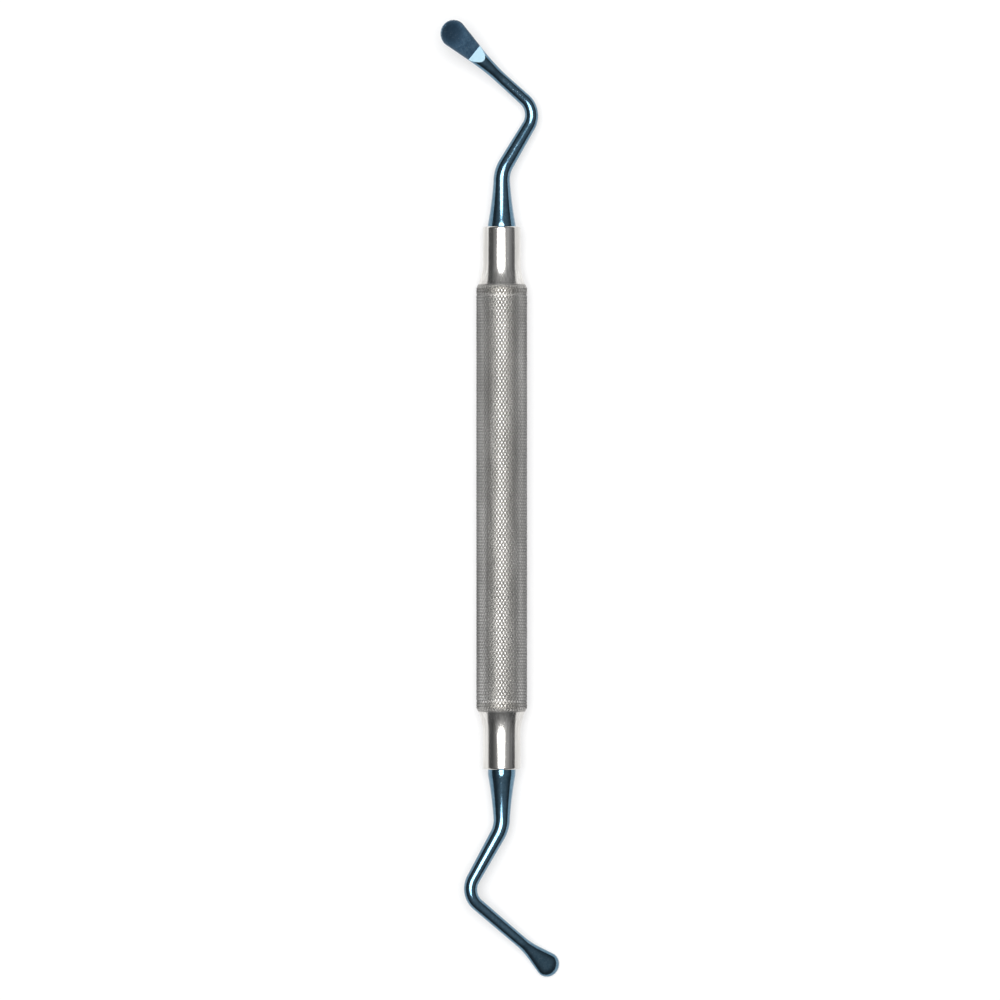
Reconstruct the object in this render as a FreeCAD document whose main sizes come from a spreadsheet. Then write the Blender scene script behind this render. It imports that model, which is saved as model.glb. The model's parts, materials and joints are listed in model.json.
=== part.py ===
import FreeCAD, Part
import math
import os
import Sketcher

# Double-ended surgical curette: a hollow grip tube, a turned bell-shaped socket in each end of it,
# and a bent tip with a serrated spoon brazed in each socket. The two tips are of opposite hand.
# The part lies on a table with the grip along Y, and the origin is on the table under its middle.
# Lengths are millimetres and angles are degrees.

SIZES = {
    # grip tube
    "grip_diameter": 9.5,
    "grip_wall": 0.75,
    "grip_length": 76.0,
    # sockets
    "collar_length": 12.5,
    "neck_diameter": 7.05,
    "shoulder_length": 1.05,
    "flare_radius": 10.6,
    "neck_edge_radius": 0.3,
    "spigot_length": 8.0,
    "braze_gap": 0.02,
    "mouth_chamfer": 0.15,
    # shank of both tips
    "tang_diameter": 5.2,
    "tang_length": 11.0,
    "shoulder_radius": 3.0,
    "base_curve_radius": 70.0,
    "shank_diameter": 3.1,
    "elbow_diameter": 2.36,
    "wrist_diameter": 2.24,
    "first_bend_radius": 6.0,
    "elbow_bend_radius": 3.8,
    # spoon of both tips
    "spoon_lean_angle": 9.0,
    "spoon_turn_angle": 1.1,
    "back_depth": 1.2,
    "face_height": 0.2,
    "heel_angle": 24.0,
    "bowl_rim": 0.28,
    "bowl_depth": 0.14,
    "tooth_gap_count": 9,
    "tooth_depth": 0.12,
    "tooth_width": 0.34,
    "tooth_spread_angle": 114.0,
    # upper tip, bent by hand
    "upper_parallel": 0.2,
    "upper_first_bend": 10.3,
    "upper_first_turn_angle": 31.3,
    "upper_middle_run": 13.32,
    "upper_elbow_turn_angle": 80.9,
    "upper_last_run": 24.6,
    "upper_spoon_width": 5.12,
    "upper_flare_angle": 8.6,
    "upper_flare_blend": 3.6,
    "upper_face_length": 8.0,
    # lower tip, bent by hand
    "lower_parallel": 0.8,
    "lower_first_bend": 10.9,
    "lower_first_turn_angle": 30.2,
    "lower_middle_run": 14.12,
    "lower_elbow_turn_angle": 80.1,
    "lower_last_run": 23.62,
    "lower_spoon_width": 4.62,
    "lower_flare_angle": 12.8,
    "lower_flare_blend": 2.0,
    "lower_face_length": 5.4,
    # how far the lower spoon stays above the table
    "table_gap": 0.02,
}

# Share of the bowl's ellipse that lies above the face, which sets how steep the bowl's rim is.
BOWL_LIFT_SHARE = 0.75

# Angles round the nose at which the spoon's cross-sections stand, forward of its widest place.
NOSE_ANGLES = (12, 30, 48, 64, 76, 86)

# The highest degree of a loft through the spoon's sections, which keeps it even between them.
LOFT_DEGREE = 3

# The inside of the grip tube, which the sockets' spigots fit.
GRIP_BORE_RADIUS = "(Sizes.grip_diameter / 2 - Sizes.grip_wall)"

# Turns a sketch's own frame square to a run of the bar, or into the plane beside it.
SQUARE_TO_RUN = "placement(vector(0; 0; 0); rotation(90; 0; 90))"
SIDE_OF_RUN = "placement(vector(0; 0; 0); rotation(vector(1; 0; 0); 90))"

doc = FreeCAD.newDocument("surgical_curette")
sheet = doc.addObject("Spreadsheet::Sheet", "Sizes")
for row, name in enumerate(SIZES, start=1):
    sheet.set(f"A{row}", name)
    sheet.set(f"B{row}", str(SIZES[name]))
    sheet.setAlias(f"B{row}", name)
# the roll about the grip at which the part rests, worked out once the lower tip is built
ROLL_CELL = f"B{len(SIZES) + 2}"
sheet.set(ROLL_CELL, "0")
sheet.setAlias(ROLL_CELL, "rest_roll")
doc.recompute()


def new_body(label):
    """An empty body for one sub-part, and its origin planes by role."""
    body = doc.addObject("PartDesign::Body", label)
    body.Label = label
    planes = {feature.Role: feature for feature in body.Origin.OriginFeatures}
    return body, planes


def new_sketch(body, name, plane, place=None):
    """A sketch on an origin plane, moved off it by a placement expression."""
    sketch = body.newObject("Sketcher::SketchObject", name)
    sketch.AttachmentSupport = [(plane, "")]
    sketch.MapMode = "FlatFace"
    if place:
        sketch.setExpression("AttachmentOffset", place)
    return sketch


def number(expression):
    """What an expression on the sheet comes to now."""
    result = sheet.evalExpression(expression)
    return float(getattr(result, "Value", result))


def dimension(sketch, kind, where, expression):
    """A sketch dimension bound to the sheet."""
    index = sketch.addConstraint(Sketcher.Constraint(kind, *where, number(expression)))
    sketch.setExpression(f"Constraints[{index}]", expression)


def pin(sketch, geo, end, x, y):
    """Holds a point of the sketch at two expressions, or on an axis where one is 0."""
    for kind, axis, expression in (("DistanceX", -2, x), ("DistanceY", -1, y)):
        if expression == "0":
            sketch.addConstraint(Sketcher.Constraint("PointOnObject", geo, end, axis))
        else:
            dimension(sketch, kind, (-1, 1, geo, end), expression)


def chain(sketch, corners, arcs=(), closed=True):
    """Lines between corners given as expressions, with arcs where arcs names a radius.

    arcs maps the number of a stretch to the expression of its radius and its side, +1 where
    the outline turns left along it. Each corner is held at its two expressions.
    """
    arcs = dict(arcs)
    points = [FreeCAD.Vector(number(x), number(y), 0) for x, y in corners]
    ends = []
    stretches = len(points) if closed else len(points) - 1
    for i in range(stretches):
        start = points[i]
        stop = points[(i + 1) % len(points)]
        if i not in arcs:
            geo = sketch.addGeometry(Part.LineSegment(start, stop), False)
            ends.append((geo, 1, 2))
            continue
        radius, side = number(arcs[i][0]), arcs[i][1]
        half = (stop - start) * 0.5
        across = FreeCAD.Vector(-half.y, half.x, 0).normalize() * side
        centre = start + half + across * math.sqrt(radius**2 - half.Length**2)
        first, last = (start, stop) if side > 0 else (stop, start)
        angles = [math.atan2(p.y - centre.y, p.x - centre.x) for p in (first, last)]
        circle = Part.Circle(centre, FreeCAD.Vector(0, 0, 1), radius)
        geo = sketch.addGeometry(Part.ArcOfCircle(circle, *angles), False)
        ends.append((geo, 1, 2) if side > 0 else (geo, 2, 1))
    for i in range(stretches):
        geo, first, last = ends[i]
        if closed or i + 1 < stretches:
            following = ends[(i + 1) % stretches]
            sketch.addConstraint(
                Sketcher.Constraint("Coincident", geo, last, following[0], following[1])
            )
        pin(sketch, geo, first, *corners[i])
        if i in arcs:
            dimension(sketch, "Radius", (geo,), arcs[i][0])
    if not closed:
        pin(sketch, ends[-1][0], ends[-1][2], *corners[-1])


def round_section(sketch, radius):
    """A circle about the sketch's origin."""
    circle = Part.Circle(FreeCAD.Vector(), FreeCAD.Vector(0, 0, 1), number(radius))
    geo = sketch.addGeometry(circle, False)
    sketch.addConstraint(Sketcher.Constraint("Coincident", geo, 3, -1, 1))
    dimension(sketch, "Radius", (geo,), radius)


def oval_section(sketch, half_width, half_depth):
    """An ellipse about the sketch's origin, wider than it is deep."""
    wide = FreeCAD.Vector(number(half_width), 0, 0)
    deep = FreeCAD.Vector(0, number(half_depth), 0)
    geo = sketch.addGeometry(Part.Ellipse(wide, deep, FreeCAD.Vector()), False)
    sketch.exposeInternalGeometry(geo)
    width_line, depth_line = geo + 1, geo + 2
    sketch.addConstraint(Sketcher.Constraint("Coincident", geo, 3, -1, 1))
    sketch.addConstraint(Sketcher.Constraint("Horizontal", width_line))
    dimension(sketch, "Distance", (width_line,), f"2 * ({half_width})")
    dimension(sketch, "Distance", (depth_line,), f"2 * ({half_depth})")


def turned(body, name, sketch):
    """A full revolution of a sketch about the body's Y axis."""
    feature = body.newObject("PartDesign::Revolution", name)
    feature.Profile = sketch
    feature.ReferenceAxis = (sketch, ["V_Axis"])
    feature.Angle = 360
    return feature


def loose_sketch(name, place):
    """A sketch of the document's own, for a loft that becomes or cuts a body."""
    sketch = doc.addObject("Sketcher::SketchObject", name)
    sketch.setExpression("Placement", place)
    return sketch


def lofted(name, sections):
    """A smooth solid through sketches."""
    loft = doc.addObject("Part::Loft", name)
    loft.Sections = sections
    loft.Solid = True
    loft.MaxDegree = LOFT_DEGREE
    return loft


def rims_at(feature, height):
    """The round edges of a feature at a height along Y, the smallest first."""
    found = []
    for index, edge in enumerate(feature.Shape.Edges, start=1):
        level = all(abs(vertex.Point.y - height) < 1e-6 for vertex in edge.Vertexes)
        if level and isinstance(edge.Curve, Part.Circle):
            found.append((edge.Curve.Radius, f"Edge{index}"))
    return [name for _, name in sorted(found)]


def build_grip_tube():
    """The hollow grip: a plain tube whose diameter is the crest of its knurl."""
    body, planes = new_body("grip_tube")
    wall = new_sketch(body, "tube_wall", planes["XY_Plane"])
    inner, outer = GRIP_BORE_RADIUS, "Sizes.grip_diameter / 2"
    low, high = "-Sizes.grip_length / 2", "Sizes.grip_length / 2"
    chain(wall, [(inner, low), (outer, low), (outer, high), (inner, high)])
    turned(body, "tube", wall)
    return body


def build_socket(label):
    """One turned end piece: spigot, shoulder, flare, neck and the bore for the tang.

    Y = 0 is the shoulder that butts on the tube's end.
    """
    body, planes = new_body(label)
    profile = new_sketch(body, "socket_profile", planes["XY_Plane"])
    spigot = f"({GRIP_BORE_RADIUS} - Sizes.braze_gap)"
    grip, neck = "Sizes.grip_diameter / 2", "Sizes.neck_diameter / 2"
    flare_rise = f"({grip} - {neck})"
    flare_run = f"sqrt(Sizes.flare_radius ^ 2 - (Sizes.flare_radius - {flare_rise}) ^ 2)"
    neck_root = f"(Sizes.shoulder_length + {flare_run})"
    corners = [
        ("0", "-Sizes.spigot_length"),
        (spigot, "-Sizes.spigot_length"),
        (spigot, "0"),
        (grip, "0"),
        (grip, "Sizes.shoulder_length"),
        (neck, neck_root),
        (neck, "Sizes.collar_length"),
        ("0", "Sizes.collar_length"),
    ]
    chain(profile, corners, {4: ("Sizes.flare_radius", -1)})
    turned(body, "turned_blank", profile)
    doc.recompute()

    end_place = "placement(vector(0; Sizes.collar_length; 0); rotation(vector(1; 0; 0); -90))"
    mouth = new_sketch(body, "bore_mouth", planes["XY_Plane"], end_place)
    round_section(mouth, "Sizes.tang_diameter / 2 + Sizes.braze_gap")
    before = body.Shape.Volume
    bore = body.newObject("PartDesign::Pocket", "tang_bore")
    bore.Profile = mouth
    bore.setExpression("Length", "Sizes.tang_length")
    doc.recompute()
    if body.Shape.Volume >= before:
        raise RuntimeError(f"{label}: the bore cuts nothing")

    end_height = number("Sizes.collar_length")
    mouth_chamfer = body.newObject("PartDesign::Chamfer", "mouth_chamfer")
    mouth_chamfer.Base = (bore, [rims_at(bore, end_height)[0]])
    mouth_chamfer.setExpression("Size", "Sizes.mouth_chamfer")
    doc.recompute()
    neck_edge = body.newObject("PartDesign::Fillet", "neck_edge")
    neck_edge.Base = (mouth_chamfer, [rims_at(mouth_chamfer, end_height)[-1]])
    neck_edge.setExpression("Radius", "Sizes.neck_edge_radius")
    return body


class Tip:
    """One bent tip. Y = 0 is the socket's end face, the bends lie in XY and Y points out."""

    def __init__(self, side, face_roll):
        self.side = side
        self.face_roll = face_roll
        self.body, self.planes = new_body(f"{side}_tip")
        turn, elbow = self.size("first_turn_angle"), self.size("elbow_turn_angle")
        self.heading = {"middle": turn, "last": f"({turn} - {elbow})"}
        self.first_setback = f"Sizes.first_bend_radius * tan({turn} / 2)"
        self.elbow_setback = f"Sizes.elbow_bend_radius * tan({elbow} / 2)"
        self.first_corner = ("0", self.size("first_bend"))
        self.elbow_corner = self.step(self.first_corner, "middle", self.size("middle_run"))
        self.nose_radius = f"({self.size('spoon_width')} / 2)"
        # the flare runs straight from the wrist to its tangent point on the nose circle
        flare = self.size("flare_angle")
        self.flare_length = (
            f"(({self.nose_radius} / cos({flare}) - Sizes.wrist_diameter / 2) / tan({flare}))"
        )
        blend = self.size("flare_blend")
        self.spoon_length = f"({self.flare_length} + {blend} + {self.nose_radius})"
        self.wrist = f"({self.size('last_run')} - {self.spoon_length})"

    def size(self, name):
        return f"Sizes.{self.side}_{name}"

    def step(self, point, run, distance):
        """The point a distance further along a run."""
        heading = self.heading[run]
        return (
            f"({point[0]} + ({distance}) * sin({heading}))",
            f"({point[1]} + ({distance}) * cos({heading}))",
        )

    def across_path(self, point, heading):
        """A placement square to the path, for a section there."""
        return (
            f"placement(vector({point[0]}; {point[1]}; 0);"
            f" rotation(vector(0; 0; 1); 90 - {heading})) * {SQUARE_TO_RUN}"
        )

    def spoon_frame(self, behind_nose, height="0", bent=True):
        """A placement on the spoon's own axis, X to the nose and Z out of its face."""
        turn, lean = ("Sizes.spoon_turn_angle", "-Sizes.spoon_lean_angle") if bent else ("0", "0")
        x, y = self.step(self.elbow_corner, "last", self.wrist)
        forward = f"{self.spoon_length} - {self.nose_radius} - ({behind_nose})"
        return (
            f"placement(vector({x}; {y}; 0);"
            f" rotation(vector(0; 0; 1); 90 - {self.heading['last']} + {turn}))"
            f" * placement(vector(0; 0; 0); rotation(vector(1; 0; 0); {self.face_roll}))"
            f" * placement(vector(0; 0; 0); rotation(vector(0; 1; 0); {lean}))"
            f" * placement(vector({forward}; 0; {height}); rotation(0; 0; 0))"
        )

    def sketch(self, name, place=None):
        return new_sketch(self.body, name, self.planes["XY_Plane"], place)

    def stations(self):
        """Places along the spoon: how far behind the nose's centre, and half its width there."""
        flare, blend = self.size("flare_angle"), self.size("flare_blend")
        nose = self.nose_radius
        tangent = f"{nose} * sin({flare})"
        corner = self.flare_length
        flare_start = f"({corner} - {blend})"
        middle = f"(({flare_start} + {tangent}) / 2)"
        places = [(corner, f"(Sizes.wrist_diameter / 2 + {blend} * tan({flare}) / 4)")]
        for behind in (flare_start, middle):
            places.append((behind, f"({nose} / cos({flare}) - {behind} * tan({flare}))"))
        places.append((tangent, f"({nose} * cos({flare}))"))
        for angle in NOSE_ANGLES:
            places.append((f"-{nose} * sin({angle})", f"({nose} * cos({angle}))"))
        return places

    def back_depth(self, behind, half_width):
        """Half the depth of the spoon's oval section at a station."""
        if behind.startswith("-"):
            return f"Sizes.back_depth * {half_width} / {self.nose_radius}"
        share = f"({behind} / ({self.flare_length} + {self.size('flare_blend')}))"
        return f"(Sizes.back_depth * (1 - {share}) + Sizes.wrist_diameter / 2 * {share})"

    def build_stem(self):
        """The tang and the base that tapers to the shank, turned in one."""
        shank = "Sizes.shank_diameter / 2"
        tang = "Sizes.tang_diameter / 2"
        shoulder, curve = "Sizes.shoulder_radius", "Sizes.base_curve_radius"
        top = f"({self.first_corner[1]} - {self.first_setback})"
        # the shoulder arc leaves the tang upright and the long hollow arc takes over from it
        across = f"({tang} - {shoulder} - {shank})"
        rise = f"({self.size('parallel')} - {top})"
        centres = f"({shoulder} + {curve})"
        reach = f"sqrt({across} ^ 2 + {rise} ^ 2)"
        share = f"(({curve} ^ 2 - {centres} ^ 2 - {reach} ^ 2) / (2 * {centres} * {reach}))"
        lean = f"(atan2({rise}; {across}) + acos({share}))"
        join = (
            f"({tang} - {shoulder} * (1 - cos({lean})))",
            f"({self.size('parallel')} + {shoulder} * sin({lean}))",
        )
        corners = [
            ("0", "-Sizes.tang_length"),
            (tang, "-Sizes.tang_length"),
            (tang, self.size("parallel")),
            join,
            (shank, top),
            ("0", top),
        ]
        profile = self.sketch("stem_profile")
        chain(profile, corners, {2: (shoulder, 1), 3: (curve, -1)})
        turned(self.body, "stem", profile)

    def build_shank(self):
        """The two bends and three runs, swept from the base to the wrist."""
        path_points = [
            ("0", f"({self.first_corner[1]} - {self.first_setback})"),
            self.step(self.first_corner, "middle", self.first_setback),
            self.step(self.elbow_corner, "middle", f"-{self.elbow_setback}"),
            self.step(self.elbow_corner, "last", self.elbow_setback),
            self.step(self.elbow_corner, "last", self.wrist),
        ]
        path = self.sketch("shank_path")
        bends = {0: ("Sizes.first_bend_radius", -1), 2: ("Sizes.elbow_bend_radius", 1)}
        chain(path, path_points, bends, closed=False)
        sections = []
        for name, point, heading, diameter in (
            ("shank_start", path_points[0], "0", "Sizes.shank_diameter"),
            ("elbow_end", path_points[3], self.heading["last"], "Sizes.elbow_diameter"),
            ("wrist_end", path_points[4], self.heading["last"], "Sizes.wrist_diameter"),
        ):
            section = self.sketch(name, self.across_path(point, heading))
            round_section(section, f"{diameter} / 2")
            sections.append(section)
        shank = self.body.newObject("PartDesign::AdditivePipe", "shank")
        shank.Profile = sections[0]
        shank.Spine = path
        shank.Transformation = "Multisection"
        shank.Sections = sections[1:]
        shank.Mode = "Standard"

    def build_spoon(self):
        """The spoon's forging, lofted from the round wrist to the nose."""
        wrist_behind = f"{self.flare_length} + {self.size('flare_blend')}"
        wrist_place = f"{self.spoon_frame(wrist_behind, bent=False)} * {SQUARE_TO_RUN}"
        first = loose_sketch(f"{self.side}_wrist", wrist_place)
        round_section(first, "Sizes.wrist_diameter / 2")
        sections = [first]
        for count, (behind, half_width) in enumerate(self.stations()):
            place = f"{self.spoon_frame(behind)} * {SQUARE_TO_RUN}"
            section = loose_sketch(f"{self.side}_spoon_section_{count}", place)
            oval_section(section, half_width, self.back_depth(behind, half_width))
            sections.append(section)
        self.body.BaseFeature = lofted(f"{self.side}_forging", sections)

    def grind_face(self):
        """The flat face, and the sloping facet at its heel that runs out of the bar."""
        face_end = f"({self.nose_radius} - {self.size('face_length')})"
        front, level = self.size("spoon_width"), "Sizes.face_height"
        clear = "Sizes.wrist_diameter"
        side_view = f"{self.spoon_frame('0')} * {SIDE_OF_RUN}"
        waste = self.sketch("face_waste", side_view)
        corners = [
            (front, level),
            (front, f"{level} + {clear}"),
            (f"({face_end} - {clear} / tan(Sizes.heel_angle))", f"{level} + {clear}"),
            (face_end, level),
        ]
        chain(waste, corners)
        face = self.body.newObject("PartDesign::Pocket", "ground_face")
        face.Profile = waste
        face.Midplane = True
        face.setExpression("Length", f"2 * {front}")

    def hollow_face(self):
        """The shallow bowl inside an even rim."""
        sections = []
        widest = f"({self.nose_radius} - Sizes.bowl_rim)"
        run_out = f"({self.size('face_length')} - {self.nose_radius})"
        for count, (behind, half_width) in enumerate(self.stations()[2:-1]):
            inside = f"({half_width} - Sizes.bowl_rim)"
            depth = f"(Sizes.bowl_depth * {inside} / {widest})"
            if count == 0:
                depth = f"({depth} / 4)"
            half_depth = f"({depth} / (1 - {BOWL_LIFT_SHARE}))"
            if behind.startswith("-"):
                behind = f"{behind} * {widest} / {self.nose_radius}"
                inside = f"({half_width} * {widest} / {self.nose_radius})"
            lift = f"Sizes.face_height + {half_depth} * {BOWL_LIFT_SHARE}"
            place = f"{self.spoon_frame(behind, lift)} * {SQUARE_TO_RUN}"
            section = loose_sketch(f"{self.side}_bowl_section_{count}", place)
            oval_section(section, f"{inside} / sqrt(1 - {BOWL_LIFT_SHARE} ^ 2)", half_depth)
            sections.append(section)
        bowl = self.body.newObject("PartDesign::Boolean", "bowl")
        bowl.Type = "Cut"
        bowl.Group = [lofted(f"{self.side}_bowl_wheel", sections)]

    def cut_teeth(self):
        """The serrations: one notch across the nose's edge, repeated round it."""
        first_angle = "rotation(vector(0; 0; 1); -Sizes.tooth_spread_angle / 2)"
        plan = f"{self.spoon_frame('0')} * placement(vector(0; 0; 0); {first_angle})"
        notch = self.sketch("notch_plan", plan)
        root = f"{self.nose_radius} - Sizes.tooth_depth"
        mouth = f"{self.nose_radius} + Sizes.tooth_depth"
        corners = [(root, "0"), (mouth, "-Sizes.tooth_width"), (mouth, "Sizes.tooth_width")]
        chain(notch, corners)
        cut = self.body.newObject("PartDesign::Pocket", "tooth_gap")
        cut.Profile = notch
        cut.Midplane = True
        cut.setExpression("Length", "4 * Sizes.back_depth")
        doc.recompute()
        teeth = self.body.newObject("PartDesign::PolarPattern", "teeth")
        teeth.Originals = [cut]
        teeth.Axis = (notch, ["N_Axis"])
        teeth.setExpression("Angle", "Sizes.tooth_spread_angle")
        teeth.setExpression("Occurrences", "Sizes.tooth_gap_count")
        self.body.Tip = teeth

    def build(self):
        steps = (self.build_spoon, self.build_shank, self.build_stem)
        cuts = (self.grind_face, self.hollow_face, self.cut_teeth)
        before = 0.0
        for step in steps + cuts:
            step()
            doc.recompute()
            after = self.body.Shape.Volume
            if (after - before) * (1 if step in steps else -1) <= 0:
                raise RuntimeError(f"{self.side} tip: {step.__name__} changes nothing")
            before = after
        return self.body


def rest_roll(lower_tip):
    """The roll about the grip at which the lower spoon just clears the table."""
    points = lower_tip.Shape.tessellate(0.01)[0]
    grip_radius, gap = number("Sizes.grip_diameter / 2"), number("Sizes.table_gap")

    def clearance(roll):
        sine, cosine = math.sin(math.radians(roll)), math.cos(math.radians(roll))
        return grip_radius + min(p.x * sine + p.z * cosine for p in points) - gap

    low, high = -60.0, 60.0
    while high - low > 1e-4:
        middle = (low + high) / 2
        if clearance(middle) > 0:
            low = middle
        else:
            high = middle
    return low


grip_tube = build_grip_tube()
sockets = {side: build_socket(f"{side}_socket") for side in ("upper", "lower")}
tips = {
    "upper": Tip("upper", 0).build(),
    "lower": Tip("lower", 180).build(),
}
doc.recompute()

sheet.set(ROLL_CELL, f"{rest_roll(tips['lower']):.4f}")
doc.recompute()
axis_height = "Sizes.grip_diameter / 2"
grip_tube.setExpression("Placement", f"placement(vector(0; 0; {axis_height}); rotation(0; 0; 0))")
for side, sign, turn in (("upper", "", 0), ("lower", "-", 180)):
    shoulder_at = f"{sign}Sizes.grip_length / 2"
    face_at = f"{sign}(Sizes.grip_length / 2 + Sizes.collar_length)"
    about_axis = f"rotation(vector(0; 0; 1); {turn})"
    sockets[side].setExpression(
        "Placement", f"placement(vector(0; {shoulder_at}; {axis_height}); {about_axis})"
    )
    tips[side].setExpression(
        "Placement",
        f"placement(vector(0; {face_at}; {axis_height});"
        f" rotation(vector(0; 1; 0); Sizes.rest_roll) * {about_axis})",
    )
doc.recompute()

for item in doc.Objects:
    if "Invalid" in item.State or "Error" in item.State:
        raise RuntimeError(f"{item.Label} failed: {item.State}")

os.makedirs("parts", exist_ok=True)
sub_parts = [grip_tube, *sockets.values(), *tips.values()]
for sub_part in sub_parts:
    shape = sub_part.Shape
    if shape.isNull() or not shape.isValid() or len(shape.Solids) != 1:
        raise RuntimeError(f"{sub_part.Label} isn't one valid solid")
print(f"rolled by {number('Sizes.rest_roll'):.3f} degrees at rest")
for sub_part in sub_parts:
    sub_part.Shape.exportStep(f"parts/{sub_part.Label}.step")
    print(f"{sub_part.Label}: {sub_part.Shape.Volume:.1f} mm3")
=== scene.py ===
import json
import math

import bmesh
import bpy
from mathutils import Matrix, Vector

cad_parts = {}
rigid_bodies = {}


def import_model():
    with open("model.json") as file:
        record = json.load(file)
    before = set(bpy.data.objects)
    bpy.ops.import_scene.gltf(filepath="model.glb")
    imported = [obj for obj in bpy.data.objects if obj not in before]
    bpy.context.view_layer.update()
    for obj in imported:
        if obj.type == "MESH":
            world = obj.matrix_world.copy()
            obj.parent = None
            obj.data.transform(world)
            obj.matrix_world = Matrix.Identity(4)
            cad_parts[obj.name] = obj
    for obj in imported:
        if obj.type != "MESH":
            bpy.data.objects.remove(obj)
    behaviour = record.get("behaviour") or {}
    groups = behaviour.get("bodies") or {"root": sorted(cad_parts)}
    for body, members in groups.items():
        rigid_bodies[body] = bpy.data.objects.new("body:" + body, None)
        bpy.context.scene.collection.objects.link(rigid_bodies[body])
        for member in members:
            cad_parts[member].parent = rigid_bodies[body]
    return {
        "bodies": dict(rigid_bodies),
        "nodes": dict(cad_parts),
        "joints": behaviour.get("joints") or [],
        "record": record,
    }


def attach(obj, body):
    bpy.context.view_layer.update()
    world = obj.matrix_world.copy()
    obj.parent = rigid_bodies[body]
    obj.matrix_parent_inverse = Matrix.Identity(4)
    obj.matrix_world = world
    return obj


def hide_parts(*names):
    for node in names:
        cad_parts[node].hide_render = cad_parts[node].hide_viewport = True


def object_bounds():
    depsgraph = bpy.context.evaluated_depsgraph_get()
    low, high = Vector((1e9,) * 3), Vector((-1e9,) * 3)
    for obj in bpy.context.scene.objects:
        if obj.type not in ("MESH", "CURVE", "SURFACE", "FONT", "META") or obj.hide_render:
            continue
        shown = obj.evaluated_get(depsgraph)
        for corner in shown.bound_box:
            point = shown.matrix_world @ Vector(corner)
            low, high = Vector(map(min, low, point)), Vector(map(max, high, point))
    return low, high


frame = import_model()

cad_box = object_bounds()
MM = 0.001

# Grip: a length of stainless tube, diamond-knurled from end to end by two crossing sets of
# helical grooves. The crests are rolled slightly flat, and the grooves are darkened with painted
# shade.
# Its two ends butt against the shoulders of the sockets.
GRIP_RADIUS = 4.75
GRIP_BORE_RADIUS = 4.0
GRIP_HALF = 38.0
KNURL_ROUND = 48
KNURL_ROWS = 140
KNURL_DEPTH = 0.27
CREST_FLAT = 0.25
CREST_EDGE_ANGLE = 12
MERGE_DISTANCE = 1e-5
SLIVER = 0.01
ON_TABLE = Matrix.Translation((0, 0, GRIP_RADIUS * MM)) @ Matrix.Scale(MM, 4)


def knurl_height(turn, along):
    """From 0 in a groove to 1 on a crest's flat, at a turn in radians and a place in mm."""
    row = 2 * GRIP_HALF / KNURL_ROWS
    round_it = turn * KNURL_ROUND / (2 * math.pi)
    groove_steps = [round_it + along / (2 * row), round_it - along / (2 * row)]
    nearest = min(abs(step - round(step)) for step in groove_steps)
    return min(1.0, 2 * nearest / (1 - CREST_FLAT))


def piece_of(bm, name, place, sharp_angle):
    """An object at the origin with its place in its mesh, smooth but for its sharp edges."""
    bm.transform(place)
    mesh = bpy.data.meshes.new(name)
    bm.to_mesh(mesh)
    bm.free()
    mesh.shade_smooth()
    mesh.set_sharp_from_angle(angle=math.radians(sharp_angle))
    piece = bpy.data.objects.new(name, mesh)
    bpy.context.scene.collection.objects.link(piece)
    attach(piece, "root")
    return piece


def turned(outline, steps):
    """A closed solid of revolution about Y, from a closed outline of radii and places along Y."""
    bm = bmesh.new()
    points = [bm.verts.new((radius, along, 0)) for radius, along in outline]
    rim = [bm.edges.new(pair) for pair in zip(points, points[1:])]
    if outline[0][0] > 0:
        rim.append(bm.edges.new((points[-1], points[0])))
    bmesh.ops.spin(
        bm, geom=points + rim, cent=(0, 0, 0), axis=(0, 1, 0), angle=2 * math.pi,
        steps=steps, use_merge=True,
    )
    bmesh.ops.remove_doubles(bm, verts=bm.verts, dist=MERGE_DISTANCE)
    bmesh.ops.recalc_face_normals(bm, faces=bm.faces)
    return bm


crest_line = [
    (GRIP_RADIUS, GRIP_HALF * (2 * row / KNURL_ROWS - 1)) for row in range(KNURL_ROWS + 1)
]
bm = turned(
    [(GRIP_BORE_RADIUS, -GRIP_HALF), *crest_line, (GRIP_BORE_RADIUS, GRIP_HALF)],
    2 * KNURL_ROUND,
)
crests = []
for vert in bm.verts:
    radius = math.hypot(vert.co.x, vert.co.z)
    if radius < GRIP_RADIUS - SLIVER:
        continue
    crest = knurl_height(math.atan2(vert.co.z, vert.co.x), vert.co.y) > 0.5
    lift = CREST_FLAT / (1 - CREST_FLAT) if crest else -1
    if crest and abs(vert.co.y) < GRIP_HALF - SLIVER:
        crests.append(vert)
    elif crest:
        lift = 0
    scale = 1 + lift * KNURL_DEPTH / GRIP_RADIUS
    vert.co.x *= scale
    vert.co.z *= scale
under_knurl = GRIP_RADIUS - 2 * KNURL_DEPTH
skin = [
    face for face in bm.faces
    if all(math.hypot(vert.co.x, vert.co.z) > under_knurl for vert in face.verts)
]
bmesh.ops.triangulate(bm, faces=skin, quad_method="SHORT_EDGE")
bmesh.ops.bevel(
    bm, geom=crests, offset=100 * CREST_FLAT, offset_type="PERCENT", affect="VERTICES",
    segments=1, profile=0.5, material=-1,
)
grip = piece_of(bm, "knurled_grip", ON_TABLE, CREST_EDGE_ANGLE)


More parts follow.
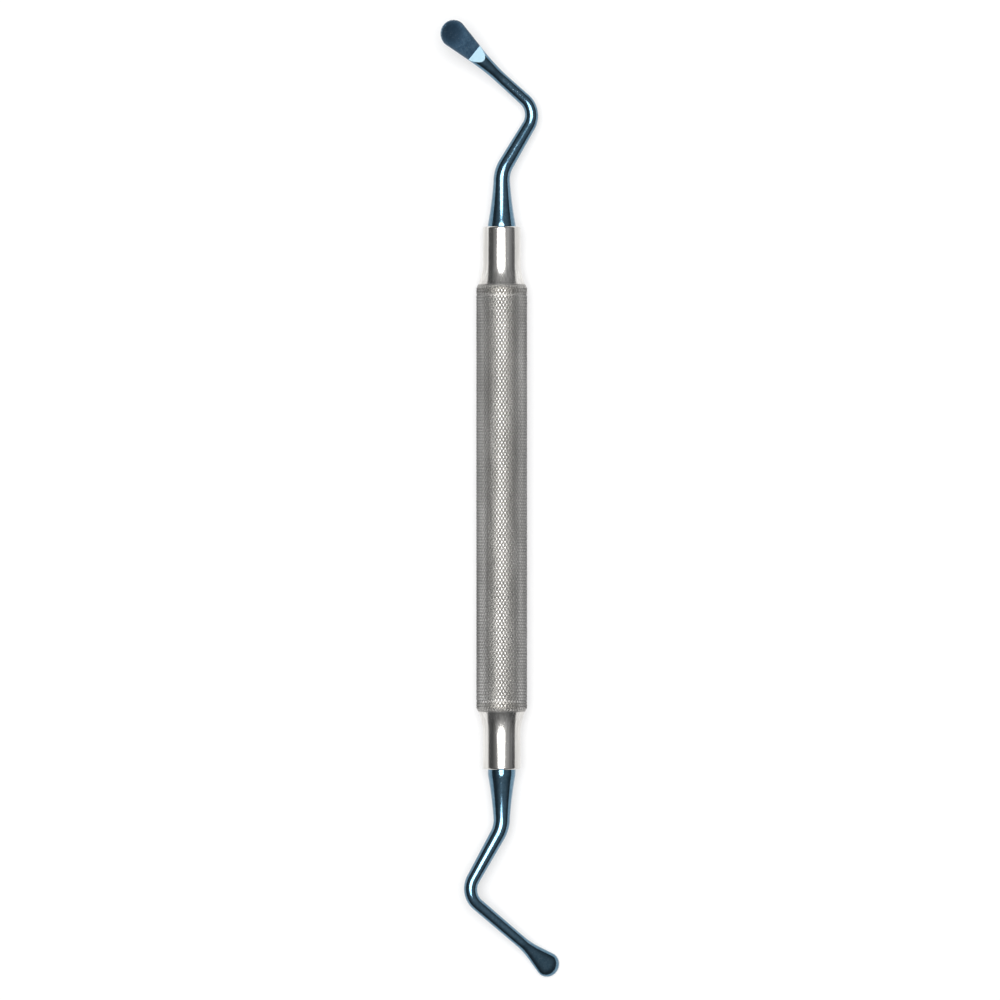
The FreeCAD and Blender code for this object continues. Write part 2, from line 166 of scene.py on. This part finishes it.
class Wire:
    """A socket of a material's nodes. Arithmetic on it adds the Math nodes that work it out."""

    def __init__(self, tree, socket=None):
        self.tree = tree
        self.socket = socket

    def node(self, kind, settings, sockets, output=0):
        """Any node: its settings first, then the values or links of its sockets."""
        node = self.tree.nodes.new(kind)
        for name, value in settings.items():
            setattr(node, name, value)
        for key, value in sockets.items():
            if isinstance(value, Wire):
                self.tree.links.new(value.socket, node.inputs[key])
            else:
                node.inputs[key].default_value = value
        return Wire(self.tree, node.outputs[output] if node.outputs else None)

    def maths(self, operation, first, second):
        """One Math node on two values or links."""
        return self.node("ShaderNodeMath", {"operation": operation}, {0: first, 1: second})

    def __add__(self, other):
        return self.maths("ADD", self, other)

    def __radd__(self, other):
        return self.maths("ADD", other, self)

    def __sub__(self, other):
        return self.maths("SUBTRACT", self, other)

    def __rsub__(self, other):
        return self.maths("SUBTRACT", other, self)

    def __mul__(self, other):
        return self.maths("MULTIPLY", self, other)

    def __rmul__(self, other):
        return self.maths("MULTIPLY", other, self)

    def __pow__(self, other):
        return self.maths("POWER", self, other)

    def ease(self, low, high):
        """From 0 at low to 1 at high, smoothly."""
        return self.node(
            "ShaderNodeMapRange", {"interpolation_type": "SMOOTHSTEP"},
            {"Value": self, "From Min": low, "From Max": high},
        )

    def blend(self, first, second):
        """A colour between two, by this value."""
        return self.node("ShaderNodeMix", {"data_type": "RGBA"}, {0: self, 6: first, 7: second}, 2)


def new_finish(name):
    """An empty material, and a wire to start its nodes from."""
    material = bpy.data.materials.new(name)
    material.use_nodes = True
    material.node_tree.nodes.clear()
    return material, Wire(material.node_tree)


def grain(wire, stretch, scale, detail=3.0):
    """Noise on the object's own coordinates, stretched along its axes."""
    place = wire.node("ShaderNodeTexCoord", {}, {}, "Object")
    spread = wire.node("ShaderNodeMapping", {}, {"Vector": place, "Scale": stretch})
    return wire.node(
        "ShaderNodeTexNoise", {}, {"Vector": spread, "Scale": scale, "Detail": detail}
    )


def shade(wire, color, roughness, height, bump, coat=0.0):
    """A bare or coated metal surface with a fine bump."""
    normal = wire.node(
        "ShaderNodeBump", {}, {"Strength": bump, "Distance": 0.00002, "Height": height}
    )
    surface = wire.node("ShaderNodeBsdfPrincipled", {}, {
        "Base Color": color, "Metallic": 1.0, "Roughness": roughness, "Normal": normal,
        "Coat Weight": coat, "Coat Roughness": 0.1,
    })
    wire.node("ShaderNodeOutputMaterial", {}, {"Surface": surface})


def stainless(name, bright, worn, roughness):
    """Stainless steel with lengthwise lines and pits, and painted shade that darkens the knurl's
    grooves.
    """
    material, wire = new_finish(name)
    place = wire.node("ShaderNodeTexCoord", {}, {}, "Object")
    parts = [wire.node("ShaderNodeSeparateXYZ", {}, {0: place}, axis) for axis in "XYZ"]
    up = parts[2] - GRIP_RADIUS * MM
    radius = (parts[0] * parts[0] + up * up) ** 0.5
    groove_floor, groove_lip = (GRIP_RADIUS - KNURL_DEPTH) * MM, (GRIP_RADIUS - GROOVE_LIP) * MM
    along = wire.node("ShaderNodeMath", {"operation": "ABSOLUTE"}, {0: parts[1]})
    knurl = 1 - along.ease((KNURL_END - KNURL_FADE) * MM, KNURL_END * MM)
    # Painted shade mask: 1 down in the knurl's grooves, only inside the knurled zone.
    groove = knurl * (1 - radius.ease(groove_floor, groove_lip))
    lines = grain(wire, (1, 0.012, 1), 2600)
    patches = grain(wire, (1, 0.25, 1), 420)
    pits = grain(wire, (1, 1, 1), 4200, 1).ease(0.7, 0.8)
    metal = (lines * 0.6 + patches * 0.4).ease(0.36, 0.66).blend(worn, bright)
    # Painted shade: the knurl's grooves are darkened towards the dark grey that also colours the
    # pits.
    metal = (pits * 0.6 + groove * 0.5).ease(0.0, 1.0).blend(metal, PITS_AND_GROOVE_SHADE)
    rough = roughness + patches * 0.1 + lines * 0.08 + knurl * 0.1 + groove * 0.12
    shade(wire, metal, rough, lines - pits, 0.4)
    return material


KNURL_END = GRIP_HALF + 1.85
KNURL_FADE = 0.1
GROOVE_LIP = 0.05
# The dark grey of the pits, and of the painted shade in the knurl's grooves.
PITS_AND_GROOVE_SHADE = (0.15, 0.145, 0.14, 1)
steel = stainless("knurled_stainless", (0.8, 0.79, 0.77, 1), (0.64, 0.63, 0.61, 1), 0.12)
grip.data.materials.append(steel)
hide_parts("grip_tube")

# Sockets: one turned stainless end piece for each end of the grip. Each has a spigot inside the
# tube, a shoulder against its end, a flare that cuts down through the last rows of the knurl,
# a plain polished neck, and a bore for the tip's tang with a broken edge at its mouth.
COLLAR_LENGTH = 12.5
NECK_RADIUS = 3.525
SHOULDER_LENGTH = 1.05
FLARE_RADIUS = 10.6
SPIGOT_RADIUS = 3.98
SPIGOT_LENGTH = 8.0
BORE_RADIUS = 2.62
BORE_DEPTH = 11.0
MOUTH_CHAMFER = 0.15
NECK_EDGE = 0.3
KNURL_CUTS = 4
KNURL_STEPS = 17
FLARE_STEPS = 16
EDGE_STEPS = 5
SOFT_ANGLE = 20

flare_rise = GRIP_RADIUS - NECK_RADIUS
flare_run = math.sqrt(FLARE_RADIUS**2 - (FLARE_RADIUS - flare_rise) ** 2)
neck_root = SHOULDER_LENGTH + flare_run


def collar_radius(along):
    """The socket's outside at a place past its shoulder."""
    inside = neck_root - along
    if inside <= 0:
        return NECK_RADIUS
    if inside >= flare_run:
        return GRIP_RADIUS
    return NECK_RADIUS + FLARE_RADIUS - math.sqrt(FLARE_RADIUS**2 - inside**2)


outline = [(0, -SPIGOT_LENGTH), (SPIGOT_RADIUS, -SPIGOT_LENGTH), (SPIGOT_RADIUS, 0)]
for step in range(KNURL_STEPS + 1):
    along = 2 * GRIP_HALF / KNURL_ROWS * step / KNURL_CUTS
    outline.append((collar_radius(along), along))
knurl_reach = outline[-1][1]
for step in range(1, FLARE_STEPS + 1):
    along = knurl_reach + (neck_root - knurl_reach) * step / FLARE_STEPS
    outline.append((collar_radius(along), along))
for step in range(EDGE_STEPS + 1):
    angle = math.pi / 2 * step / EDGE_STEPS
    outline.append((
        NECK_RADIUS - NECK_EDGE * (1 - math.cos(angle)),
        COLLAR_LENGTH - NECK_EDGE * (1 - math.sin(angle)),
    ))
outline += [
    (BORE_RADIUS + MOUTH_CHAMFER, COLLAR_LENGTH),
    (BORE_RADIUS, COLLAR_LENGTH - MOUTH_CHAMFER),
    (BORE_RADIUS, COLLAR_LENGTH - BORE_DEPTH),
    (0, COLLAR_LENGTH - BORE_DEPTH),
]

polished = stainless("polished_stainless", (0.82, 0.805, 0.775, 1), (0.6, 0.585, 0.56, 1), 0.1)

for side, facing in (("upper", 1), ("lower", -1)):
    bm = turned(outline, 2 * KNURL_CUTS * KNURL_ROUND)
    for vert in bm.verts:
        radius = math.hypot(vert.co.x, vert.co.z)
        if radius < GRIP_RADIUS - KNURL_DEPTH or vert.co.y > knurl_reach:
            continue
        height = knurl_height(math.atan2(vert.co.z, vert.co.x), vert.co.y + GRIP_HALF)
        limit = GRIP_RADIUS - KNURL_DEPTH * (1 - height)
        if radius > limit:
            vert.co.x *= limit / radius
            vert.co.z *= limit / radius
    band = [face for face in bm.faces if all(0 <= v.co.y <= knurl_reach for v in face.verts)]
    bmesh.ops.triangulate(bm, faces=band, quad_method="SHORT_EDGE")
    turn = Matrix.Rotation(0 if facing > 0 else math.pi, 4, "Z")
    place = ON_TABLE @ Matrix.Translation((0, facing * GRIP_HALF, 0)) @ turn
    socket = piece_of(bm, f"{side}_end_socket", place, SOFT_ANGLE)
    socket.data.materials.append(polished)
    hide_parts(f"{side}_socket")

# Tips: each is one bar of steel with a dark blue hard coating, turned to a taper above its tang,
# bent twice by hand and forged at its end to a spoon. The spoon's front is ground flat up to a
# facet that slopes out of the bar, hollowed inside an even rim, and notched round its nose.
BACK_STEPS = 43
FACE_STEPS = 28
TOP_ANGLE = math.radians(82)
RING_STEP = 0.07
STEM_STEPS = 24
BEND_STEPS = 24
RUN_STEPS = 6
NOSE_STEPS = 60
BACK_FADE = 0.15
WIDEST_LAND = 0.5
TANG_RADIUS = 2.6
TANG_LENGTH = 11.0
SHOULDER_RADIUS = 3.0
BASE_CURVE_RADIUS = 70.0
SHANK_RADIUS = 1.55
ELBOW_RADIUS = 1.18
WRIST_RADIUS = 1.12
FIRST_BEND_RADIUS = 6.0
ELBOW_BEND_RADIUS = 3.8
SPOON_LEAN = math.radians(9)
SPOON_TURN = math.radians(1.1)
BACK_DEPTH = 1.2
FACE_HEIGHT = 0.2
HEEL_SLOPE = math.radians(24)
BOWL_RIM = 0.28
BOWL_DEPTH = 0.14
BOWL_LIFT = 0.75
TOOTH_GAPS = 9
TOOTH_DEPTH = 0.12
TOOTH_WIDTH = 0.34
TOOTH_SPREAD = math.radians(114)
REST_ROLL = math.radians(15.806)
NO_FACE = 99.0
TIP_SIZES = {
    "upper": {
        "parallel": 0.2, "first_bend": 10.3, "first_turn": 31.3, "middle_run": 13.32,
        "elbow_turn": 80.9, "last_run": 24.598, "nose_radius": 2.554, "flare_angle": 8.6,
        "flare_blend": 3.6, "face_length": 8.0,
    },
    "lower": {
        "parallel": 0.8, "first_bend": 10.9, "first_turn": 30.2, "middle_run": 14.12,
        "elbow_turn": 80.1, "last_run": 23.62, "nose_radius": 2.306, "flare_angle": 12.8,
        "flare_blend": 2.0, "face_length": 5.4,
    },
}


def stem_radius(sizes, top, along):
    """The base's outside: tang, rounded shoulder, then one long hollow curve to the shank."""
    start = sizes["parallel"]
    across = TANG_RADIUS - SHOULDER_RADIUS - SHANK_RADIUS
    centres = SHOULDER_RADIUS + BASE_CURVE_RADIUS
    reach = math.hypot(across, start - top)
    share = (BASE_CURVE_RADIUS**2 - centres**2 - reach**2) / (2 * centres * reach)
    lean = math.atan2(start - top, across) + math.acos(share)
    if along <= start:
        return TANG_RADIUS
    if along <= start + SHOULDER_RADIUS * math.sin(lean):
        return TANG_RADIUS - SHOULDER_RADIUS + math.sqrt(SHOULDER_RADIUS**2 - (along - start) ** 2)
    drop = along - start - centres * math.sin(lean)
    hollow = TANG_RADIUS - SHOULDER_RADIUS + centres * math.cos(lean)
    return hollow - math.sqrt(BASE_CURVE_RADIUS**2 - drop**2)


def square_to(point, heading, facing, lean=0.0):
    """The frame of a section: X across the bar, Y out of the spoon's face, Z along the bar."""
    forward = Vector((math.sin(heading), math.cos(heading), 0))
    up = Vector((0, 0, facing))
    across = up.cross(forward)
    nose = forward * math.cos(lean) + up * math.sin(lean)
    face = up * math.cos(lean) - forward * math.sin(lean)
    frame = Matrix((across, face, nose)).transposed().to_4x4()
    frame.translation = (point[0], point[1], 0)
    return frame


def bent_bar(sizes):
    """The bar's middle line from its shank to its wrist: point, heading and radius of each."""
    turns = [math.radians(sizes["first_turn"]), -math.radians(sizes["elbow_turn"])]
    radii = [FIRST_BEND_RADIUS, ELBOW_BEND_RADIUS]
    setbacks = [radius * math.tan(abs(turn) / 2) for radius, turn in zip(radii, turns)]
    point = Vector((0, sizes["first_bend"] - setbacks[0]))
    heading = 0.0
    line = [(point.copy(), heading, 0.0)]
    travelled = 0.0
    runs = [
        sizes["middle_run"] - sum(setbacks),
        sizes["last_run"] - setbacks[1] - spoon_length(sizes),
    ]
    for turn, radius, run in zip(turns, radii, runs):
        for _ in range(BEND_STEPS):
            heading += turn / BEND_STEPS / 2
            chord = 2 * radius * math.sin(abs(turn) / BEND_STEPS / 2)
            point += chord * Vector((math.sin(heading), math.cos(heading)))
            heading += turn / BEND_STEPS / 2
            travelled += chord
            line.append((point.copy(), heading, travelled))
        bend_end = travelled
        for _ in range(RUN_STEPS):
            point += run / RUN_STEPS * Vector((math.sin(heading), math.cos(heading)))
            travelled += run / RUN_STEPS
            line.append((point.copy(), heading, travelled))
    sized = []
    for point, heading, travelled in line:
        if travelled < bend_end:
            radius = SHANK_RADIUS + (ELBOW_RADIUS - SHANK_RADIUS) * travelled / bend_end
        else:
            share = (travelled - bend_end) / runs[1]
            radius = ELBOW_RADIUS + (WRIST_RADIUS - ELBOW_RADIUS) * share
        sized.append((point, heading, radius))
    return sized


def flare_length(sizes):
    """From the nose's centre back to where the flare's straight sides would meet the bar."""
    angle = math.radians(sizes["flare_angle"])
    return (sizes["nose_radius"] / math.cos(angle) - WRIST_RADIUS) / math.tan(angle)


def spoon_length(sizes):
    """From the end of the bar's plain part to the tip of the nose."""
    return flare_length(sizes) + sizes["flare_blend"] + sizes["nose_radius"]


def spoon_section(sizes, behind):
    """The spoon a distance behind its nose's centre: half its width and depth, and its face."""
    angle = math.radians(sizes["flare_angle"])
    corner, blend, nose = flare_length(sizes), sizes["flare_blend"], sizes["nose_radius"]
    if behind < nose * math.sin(angle):
        width = math.sqrt(max(0, nose**2 - behind**2))
    elif behind < corner - blend:
        width = nose / math.cos(angle) - behind * math.tan(angle)
    else:
        share = (corner + blend - behind) / (2 * blend)
        width = WRIST_RADIUS + share**2 * blend * math.tan(angle)
    if behind < 0:
        depth = BACK_DEPTH * width / nose
    else:
        depth = BACK_DEPTH + (WRIST_RADIUS - BACK_DEPTH) * behind / (corner + blend)
    past = behind - (sizes["face_length"] - nose)
    return width, depth, FACE_HEIGHT + max(0, past) * math.tan(HEEL_SLOPE)


def bowl(sizes, behind, across, width):
    """How deep the face is hollowed at a point of it."""
    nose, flare = sizes["nose_radius"], math.radians(sizes["flare_angle"])
    widest = nose - BOWL_RIM
    inside = width - BOWL_RIM if behind > 0 else math.sqrt(max(0, widest**2 - behind**2))
    run_out = (flare_length(sizes) - sizes["flare_blend"] + nose * math.sin(flare)) / 2
    fade = min(1, max(0, (run_out - behind) / run_out))
    if inside <= 0 or abs(across) >= inside or behind > run_out:
        return 0.0
    depth = BOWL_DEPTH * inside / widest * fade * fade * (3 - 2 * fade) / (1 - BOWL_LIFT)
    return depth * (math.sqrt(1 - (1 - BOWL_LIFT**2) * (across / inside) ** 2) - BOWL_LIFT)


def notched(nose, forward, across):
    """A point of the nose in plan, drawn in where a tooth gap cuts the edge."""
    radius, turn = math.hypot(forward, across), math.atan2(across, forward)
    step = TOOTH_SPREAD / (TOOTH_GAPS - 1)
    gap = round((turn + TOOTH_SPREAD / 2) / step)
    if not 0 <= gap < TOOTH_GAPS:
        return forward, across
    off = abs(turn + TOOTH_SPREAD / 2 - gap * step)
    slope = TOOTH_WIDTH / (2 * TOOTH_DEPTH)
    limit = slope * (nose - TOOTH_DEPTH) / (slope * math.cos(off) - math.sin(off))
    scale = min(1, limit / radius) if radius > 0 else 1
    return forward * scale, across * scale


def section_point(step, width, depth, face):
    """A point of a section: round its back from one rim to the other, then over its face.

    Gives the place across and out of the face, and how far inside the rim it lies.
    """
    rim = math.asin(min(face / depth, math.sin(TOP_ANGLE)))
    ground = face < depth * math.sin(TOP_ANGLE)
    if step <= BACK_STEPS:
        angle = rim - (math.pi + 2 * rim) * step / BACK_STEPS
        outside = BACK_FADE * min(step, BACK_STEPS - step) + (0 if ground else 1)
        return width * math.cos(angle), depth * math.sin(angle), -outside
    edge = width * math.cos(rim)
    land = min(BOWL_RIM / edge, WIDEST_LAND)
    across = edge * (1 - land) * (2 * (step - BACK_STEPS - 1) / (FACE_STEPS - 1) - 1)
    out = min(face, depth * math.sqrt(1 - (across / width) ** 2))
    return across, out, edge - abs(across) if ground else -1


coating, wire = new_finish("blue_coated_steel")
inside_rim = wire.node("ShaderNodeAttribute", {"attribute_name": "inside_rim"}, {}, "Fac")
past_heel = wire.node("ShaderNodeAttribute", {"attribute_name": "past_heel"}, {}, "Fac")
hollow = wire.node("ShaderNodeAttribute", {"attribute_name": "hollow"}, {}, "Fac")
on_face = inside_rim.ease(-0.03, 0.03)
heel_facet = on_face * past_heel.ease(0.0, 0.03)
land = on_face * (1 - heel_facet) * (1 - inside_rim.ease(0.2, 0.34))
cloud = grain(wire, (1, 1, 1), 900, 4)
mottle = grain(wire, (1, 1, 1), 2600, 4)
specks = grain(wire, (1, 1, 1), 5200, 0).ease(0.76, 0.82)
body = (cloud * 0.3 + mottle * 0.7).ease(0.38, 0.62).blend(
    (0.08, 0.18, 0.265, 1), (0.13, 0.24, 0.33, 1)
)
ground = (cloud * 0.5 + mottle * 0.5).ease(0.38, 0.62).blend(
    (0.09, 0.215, 0.36, 1), (0.16, 0.315, 0.48, 1)
)
# Painted shade: the face is darkened where the bowl is hollowed.
ground = (hollow.ease(0.0, 0.8) * 0.8).blend(ground, (0.035, 0.09, 0.16, 1))
# Painted reflection: the flat land inside the spoon's rim is painted paler.
ground = (land * 0.5).blend(ground, (0.34, 0.45, 0.56, 1))
# Painted reflection: the heel facet is painted pale, as if it caught the softbox.
ground = (heel_facet * (0.85 + mottle * 0.2)).blend(ground, (0.26, 0.38, 0.44, 1))
color = on_face.blend(body, ground)
color = (specks * 0.6).blend(color, (0.45, 0.52, 0.58, 1))
roughness = 0.08 + cloud * 0.08 + on_face * (0.08 + mottle * 0.08) + heel_facet * 0.12
shade(wire, color, roughness, cloud + mottle * 0.8 - specks * 0.5, 0.24, coat=0.35)

for side, facing in (("upper", 1), ("lower", -1)):
    sizes = TIP_SIZES[side]
    line = bent_bar(sizes)
    top = line[0][0].y
    straight = [-TANG_LENGTH, -TANG_LENGTH / 2, -0.5, sizes["parallel"]]
    taper = top - sizes["parallel"]
    straight += [sizes["parallel"] + taper * step / STEM_STEPS for step in range(1, STEM_STEPS)]
    rings = []
    for along in straight:
        radius = stem_radius(sizes, top, along)
        rings.append((square_to((0, along), 0.0, facing), None, radius, radius, NO_FACE))
    for point, heading, radius in line:
        rings.append((square_to(point, heading, facing), None, radius, radius, NO_FACE))
    wrist, heading = line[-1][0], line[-1][1]
    forging, blend = flare_length(sizes) + sizes["flare_blend"], sizes["flare_blend"]
    way = Vector((math.sin(heading), math.cos(heading))) * math.cos(SPOON_TURN)
    aside = Vector((-math.cos(heading), math.sin(heading))) * math.sin(SPOON_TURN)
    heel = forging + sizes["nose_radius"] - sizes["face_length"]
    count = round(forging / RING_STEP)
    for step in range(1, count + 1):
        ahead = forging * step / count
        if abs(ahead - heel) < RING_STEP / 2:
            ahead = heel
        section = spoon_section(sizes, forging - ahead)
        share = min(1, ahead / blend)
        bent = share * share * (3 - 2 * share)
        rise = ahead if share == 1 else blend * (2 * share**2 - share**3)
        middle = wrist + (way * ahead + aside * rise) * math.cos(SPOON_LEAN)
        place = square_to(middle, heading - SPOON_TURN * bent, facing, SPOON_LEAN * bent)
        place.translation.z = facing * rise * math.sin(SPOON_LEAN)
        rings.append((place, forging - ahead, *section))
    nose_centre = rings[-1][0]
    for step in range(1, NOSE_STEPS):
        behind = -sizes["nose_radius"] * math.sin(math.radians(90 * step / NOSE_STEPS))
        rings.append((nose_centre, behind, *spoon_section(sizes, behind)))

    bm = bmesh.new()
    order = bm.verts.layers.int.new("order")
    rim_layer = bm.verts.layers.float.new("inside_rim")
    heel_layer = bm.verts.layers.float.new("past_heel")
    hollow_layer = bm.verts.layers.float.new("hollow")
    total = BACK_STEPS + 1 + FACE_STEPS
    ring = bmesh.ops.create_circle(bm, cap_ends=True, segments=total, radius=1)["verts"]
    for step, vert in enumerate(ring):
        vert[order] = step
    edges = [edge for edge in bm.edges]
    for count, (place, behind, width, depth, face) in enumerate(rings):
        if count:
            extruded = bmesh.ops.extrude_edge_only(bm, edges=edges)["geom"]
            ring = [item for item in extruded if isinstance(item, bmesh.types.BMVert)]
            edges = [item for item in extruded if isinstance(item, bmesh.types.BMEdge)]
            edges = [edge for edge in edges if all(vert in ring for vert in edge.verts)]
        ahead = 0.0
        for vert in ring:
            across, out, inside = section_point(vert[order], width, depth, face)
            if inside > 0 and behind is not None:
                hollow_here = bowl(sizes, behind, across, width)
                out -= hollow_here
                vert[hollow_layer] = hollow_here / BOWL_DEPTH
            if place is nose_centre:
                ahead, across = notched(sizes["nose_radius"], -behind, across)
            vert.co = place @ Vector((across, out, ahead))
            vert[rim_layer] = inside
            vert[heel_layer] = face - FACE_HEIGHT
    bmesh.ops.contextual_create(bm, geom=edges)
    bmesh.ops.recalc_face_normals(bm, faces=bm.faces)
    turn = Matrix.Rotation(0 if facing > 0 else math.pi, 4, "Z")
    roll = Matrix.Rotation(REST_ROLL, 4, "Y")
    at_socket = Matrix.Translation((0, facing * (GRIP_HALF + COLLAR_LENGTH), 0))
    tip = piece_of(bm, f"{side}_coated_tip", ON_TABLE @ at_socket @ roll @ turn, SOFT_ANGLE)
    tip.data.materials.append(coating)
    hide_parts(f"{side}_tip")

# Table: a plain white surface that the curette lies on. It is as bright to the eye and in the
# metal's reflections as the photograph's background, and keeps the curette's soft shadow.
TABLE_RADIUS = 30
TABLE_GREY = (0.53, 0.53, 0.53, 1)
TABLE_GLOW = 0.45
bm = bmesh.new()
bmesh.ops.create_circle(bm, cap_ends=True, segments=96, radius=TABLE_RADIUS)
table_mesh = bpy.data.meshes.new("table")
bm.to_mesh(table_mesh)
bm.free()
table = bpy.data.objects.new("table", table_mesh)
bpy.context.scene.collection.objects.link(table)
white, wire = new_finish("white_table")
rays = [
    wire.node("ShaderNodeLightPath", {}, {}, name)
    for name in ("Is Camera Ray", "Is Glossy Ray", "Is Transmission Ray")
]
seen = (rays[0] + rays[1] + rays[2]).ease(0.0, 1.0)
diffuse = wire.node("ShaderNodeBsdfDiffuse", {}, {"Color": TABLE_GREY})
glow = wire.node("ShaderNodeEmission", {}, {"Color": (1, 1, 1, 1), "Strength": seen * TABLE_GLOW})
both = wire.node("ShaderNodeAddShader", {}, {0: diffuse, 1: glow})
wire.node("ShaderNodeOutputMaterial", {}, {"Surface": both})
table_mesh.materials.append(white)

# Light: one round softbox above the table, set off a little to the left and towards the upper
# tip, in a grey room that is dark low down, paler overhead and white along the horizon.
SOFTBOX_PLACE = (-0.11, 0.14, 2.0)
SOFTBOX_RADIUS = 0.73
SOFTBOX_BRIGHTNESS = 8.0
softbox = bpy.data.lights.new("softbox", "AREA")
softbox.shape = "DISK"
softbox.size = 2 * SOFTBOX_RADIUS
softbox.energy = SOFTBOX_BRIGHTNESS * math.pi * math.pi * SOFTBOX_RADIUS**2
softbox_object = bpy.data.objects.new("softbox", softbox)
softbox_object.location = SOFTBOX_PLACE
bpy.context.scene.collection.objects.link(softbox_object)
studio = bpy.data.worlds.new("studio")
studio.use_nodes = True
studio.node_tree.nodes.clear()
wire = Wire(studio.node_tree)
direction = wire.node("ShaderNodeTexCoord", {}, {}, "Generated")
across, along, height = [
    wire.node("ShaderNodeSeparateXYZ", {}, {0: direction}, axis) for axis in "XYZ"
]
halo = (height + (across + along) * 0.15).ease(0.3, 1.05)
dim = halo.blend((0.08, 0.082, 0.085, 1), (0.36, 0.363, 0.37, 1))
room = height.ease(0.0, 0.08).blend((0.85, 0.85, 0.85, 1), dim)
backdrop = wire.node("ShaderNodeBackground", {}, {"Color": room})
wire.node("ShaderNodeOutputWorld", {}, {"Surface": backdrop})
bpy.context.scene.world = studio
bpy.context.scene.view_settings.view_transform = "Standard"

# Camera: straight above the curette with a long lens, the whole length upright in the frame.
CAMERA_HEIGHT = 1.2
FRAME_HEIGHT = 0.187
lens = bpy.data.cameras.new("camera")
lens.lens = lens.sensor_width * CAMERA_HEIGHT / FRAME_HEIGHT
camera = bpy.data.objects.new("camera", lens)
middle = [(low + high) / 2 for low, high in zip(cad_box[0], cad_box[1])]
camera.location = (middle[0], middle[1], CAMERA_HEIGHT)
bpy.context.scene.collection.objects.link(camera)
bpy.context.scene.camera = camera
